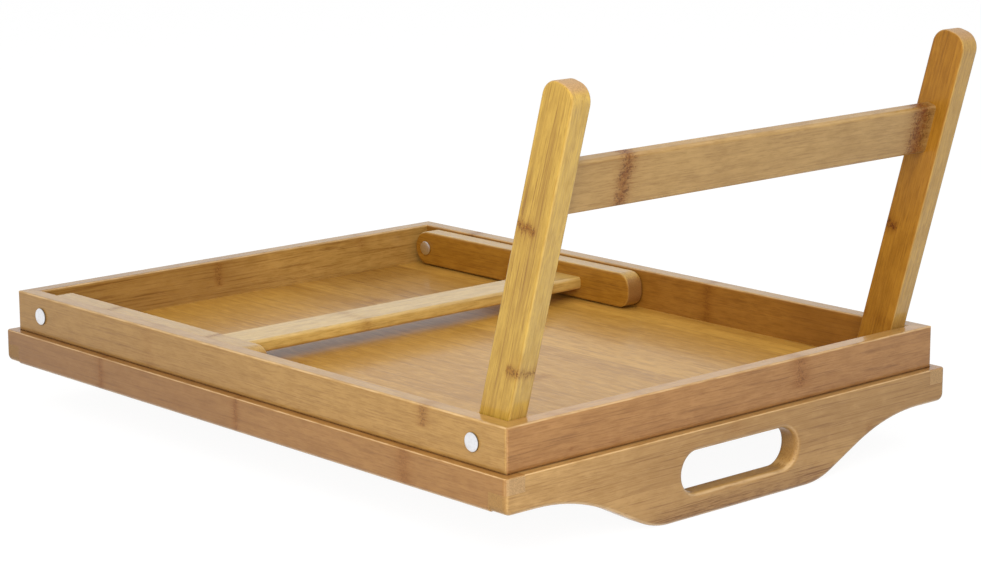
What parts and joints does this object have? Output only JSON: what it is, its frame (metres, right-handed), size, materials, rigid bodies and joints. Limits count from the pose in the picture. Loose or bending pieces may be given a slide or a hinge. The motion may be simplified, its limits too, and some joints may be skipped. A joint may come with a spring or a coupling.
{
  "type": "bed tray table",
  "caption": "Bamboo bed tray table with cut-out grips, a recessed serving board and riveted leg pairs that fold flat into the frame beneath it.",
  "frame": {"origin": "centre of the serving board's top face, which looks down (-Z) because the table lies upside down as in the picture", "axes": "+X along the long side, from the folded leg pair to the open one; +Y across, from front to back; +Z from the serving face to the feet"},
  "size_m": [0.5455, 0.391, 0.2802],
  "materials": {
    "bamboo_board": "satin varnish",
    "bamboo_rim": "satin varnish",
    "bamboo_frame": "satin varnish",
    "bamboo_leg": "satin varnish",
    "bamboo_pin": "satin varnish",
    "rivet_metal": "satin",
    "washer_metal": "plain"
  },
  "bodies": {
    "tray": {"frame_end_left": "bamboo_frame", "frame_end_right": "bamboo_frame", "frame_pins": "bamboo_pin", "frame_rail_back": "bamboo_frame", "frame_rail_front": "bamboo_frame", "handle_panel_left": "bamboo_rim", "handle_panel_right": "bamboo_rim", "mitre_splines": "bamboo_pin", "pivot_washers": "washer_metal", "rim_rail_back": "bamboo_rim", "rim_rail_front": "bamboo_rim", "rivet_left_back": "rivet_metal", "rivet_left_front": "rivet_metal", "rivet_right_back": "rivet_metal", "rivet_right_front": "rivet_metal", "serving_board": "bamboo_board"},
    "right_leg_pair": {"leg_right_front": "bamboo_leg", "leg_right_back": "bamboo_leg", "crossbar_right": "bamboo_leg", "crossbar_dowels_right": "bamboo_pin"},
    "left_leg_pair": {"leg_left_front": "bamboo_leg", "leg_left_back": "bamboo_leg", "crossbar_left": "bamboo_leg", "crossbar_dowels_left": "bamboo_pin"}
  },
  "joints": [
    {"name": "right_leg_fold", "type": "hinge", "parent": "tray", "child": "right_leg_pair", "pos_m": [0.2213, 0, 0.01975], "axis": [0, -1, 0], "range_deg": [0, 105.38]},
    {"name": "left_leg_fold", "type": "hinge", "parent": "tray", "child": "left_leg_pair", "pos_m": [-0.2213, 0, 0.01975], "axis": [0, -1, 0], "range_deg": [0, 105.38]}
  ]
}
